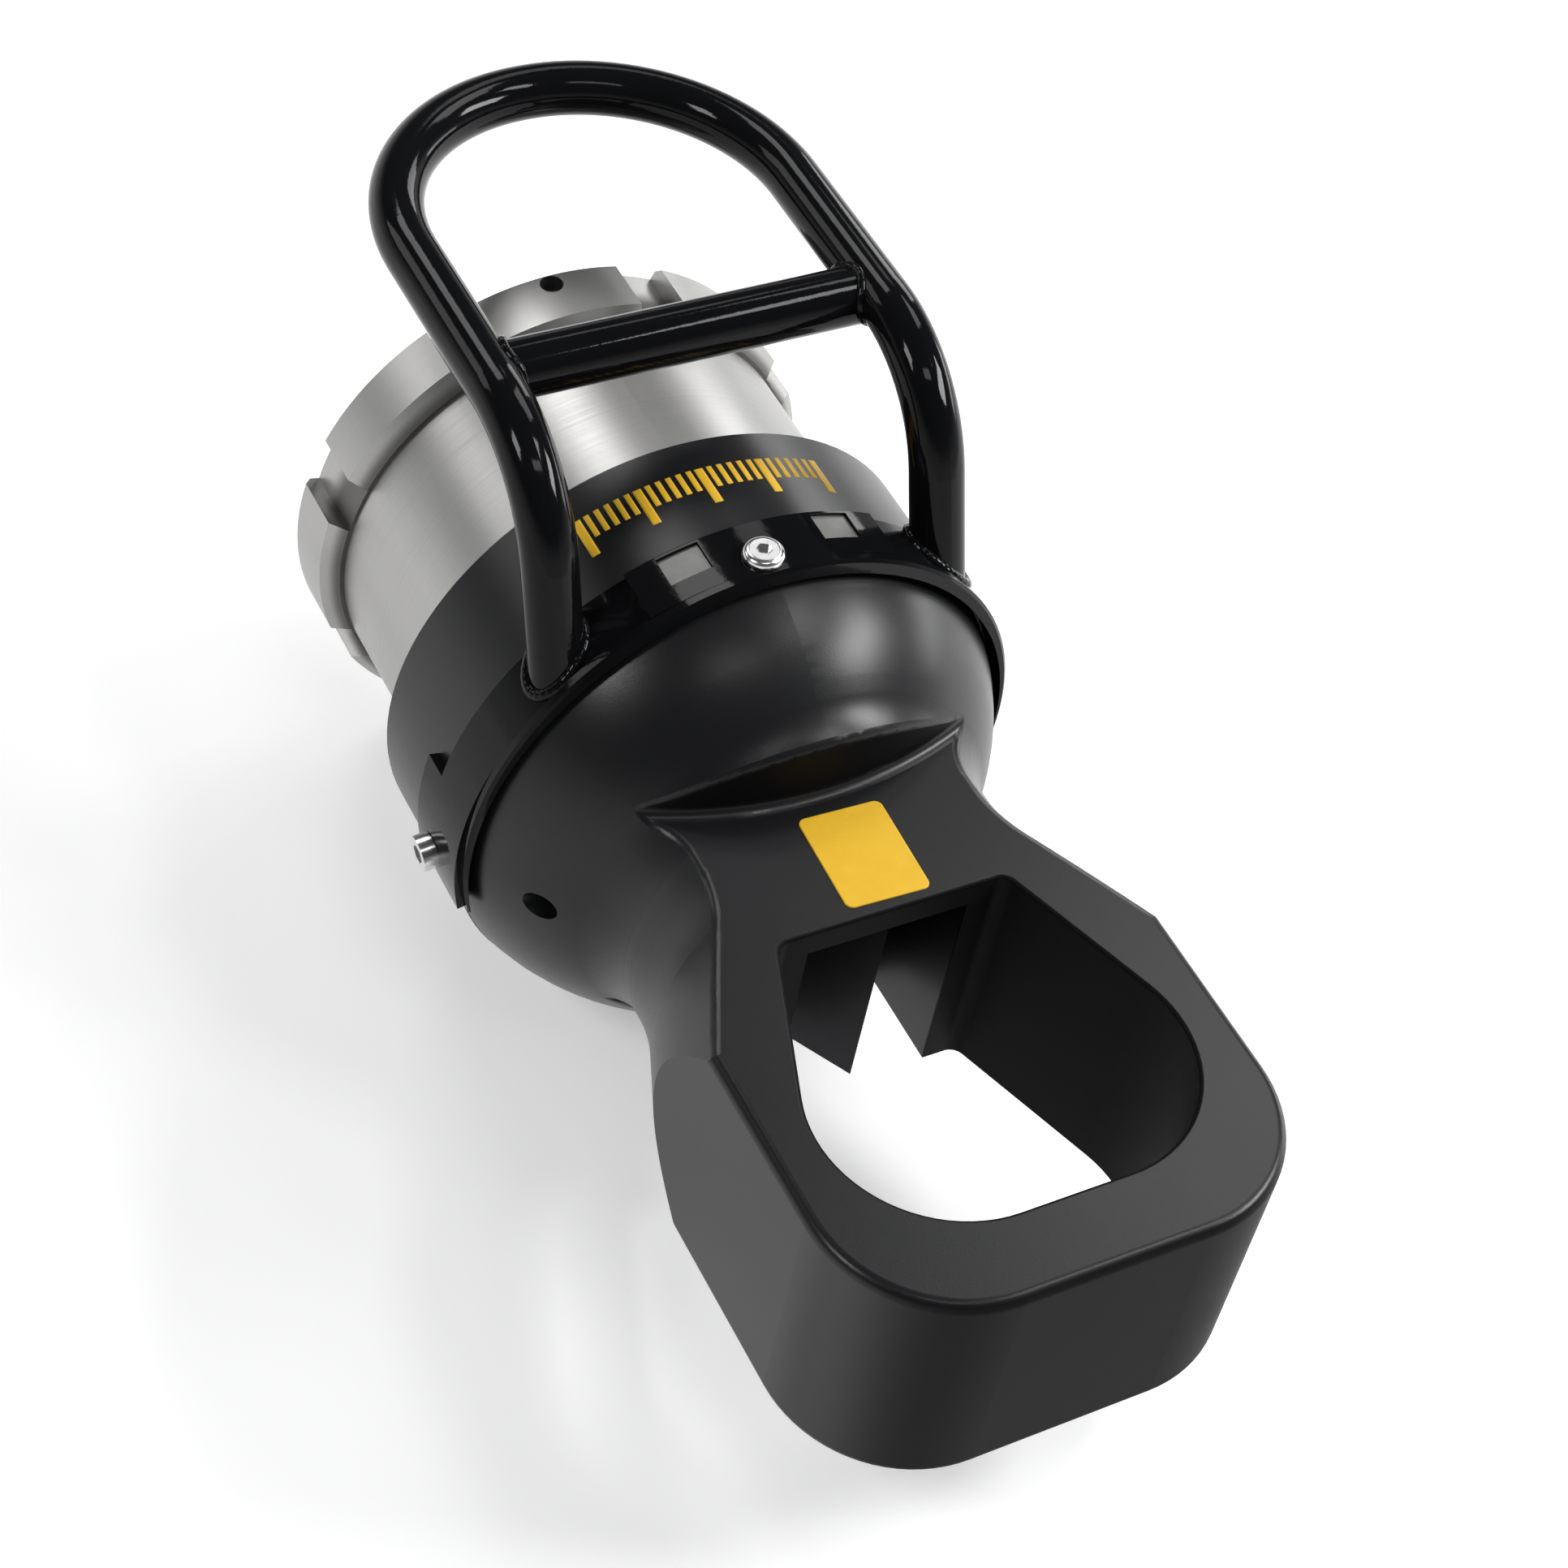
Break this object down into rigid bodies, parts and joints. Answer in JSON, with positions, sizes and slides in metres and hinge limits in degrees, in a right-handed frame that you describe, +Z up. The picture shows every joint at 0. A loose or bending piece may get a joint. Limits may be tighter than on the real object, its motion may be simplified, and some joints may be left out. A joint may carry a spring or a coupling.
{
  "type": "hydraulic nut splitter",
  "caption": "Hydraulic nut splitter: a plated cylinder drives a triangular blade into the rounded nut opening of a black forged head; spring return, hose coupler and round-bar handle.",
  "frame": {"origin": "middle of the tool's length and width, on the surface that the skirt of the head lies on", "axes": "+X along the ram axis towards the tip of the loop, +Z up towards the handle, +Y to the left of someone who looks along +X"},
  "size_m": [0.441, 0.21, 0.2392],
  "materials": {
    "satin_black": "satin black coating on forged steel",
    "gloss_black": "gloss black paint on steel",
    "nickel_plate": "satin nickel plating, brushed along the axis",
    "bright_zinc": "bright zinc plating",
    "black_oxide": "black oxide",
    "bare_plate": "bare brushed plate",
    "hard_chrome": "polished hard chrome",
    "machined_steel": "turned steel",
    "bronze": "turned bronze",
    "seal_rubber": "matte seal rubber",
    "white_ring": "matte low-friction plastic",
    "spring_steel": "oil-tempered wire",
    "coupler_steel": "zinc-plated steel with a knurled sleeve"
  },
  "bodies": {
    "tool_body": {"cutting_head": "satin_black", "handle_bracket": "gloss_black", "handle_loop": "gloss_black", "handle_crossbar": "gloss_black", "cylinder_barrel": "nickel_plate", "rear_cap": "nickel_plate", "bracket_top_screw": "bright_zinc", "bracket_end_screws": "bright_zinc", "coupler_snap_ring": "bright_zinc", "guide_screw": "black_oxide", "bleed_screw": "black_oxide", "scale_plates": "bare_plate", "spring_seat": "machined_steel", "port_adapter": "machined_steel", "rod_guide_bush": "bronze", "rear_cap_o_ring": "seal_rubber", "rod_wiper": "seal_rubber", "return_spring": "spring_steel", "coupler_body": "coupler_steel"},
    "ram": {"piston": "machined_steel", "piston_seal": "seal_rubber", "piston_backup_ring": "white_ring", "piston_guide_ring": "white_ring", "piston_nut": "black_oxide", "ram_rod": "hard_chrome", "blade_holder": "black_oxide", "holder_screw": "black_oxide", "splitting_blade": "black_oxide", "blade_retaining_screw": "black_oxide"},
    "coupler_collar": {"coupler_collar": "coupler_steel"},
    "coupler_valve": {"coupler_poppet": "bronze"}
  },
  "joints": [
    {"name": "ram_slide", "type": "slide", "parent": "tool_body", "child": "ram", "axis": [1, 0, 0], "range_m": [0, 0.055], "stiffness_N_per_m": 9000, "springref_m": -0.02, "deforming": ["return_spring"]},
    {"name": "collar_turn", "type": "hinge", "parent": "tool_body", "child": "coupler_collar", "pos_m": [-0.199, 0, 0.0966], "axis": [1, 0, 0], "continuous": true},
    {"name": "valve_slide", "type": "slide", "parent": "tool_body", "child": "coupler_valve", "axis": [1, 0, 0], "range_m": [0, 0.004], "stiffness_N_per_m": 200, "springref_m": -0.005}
  ]
}
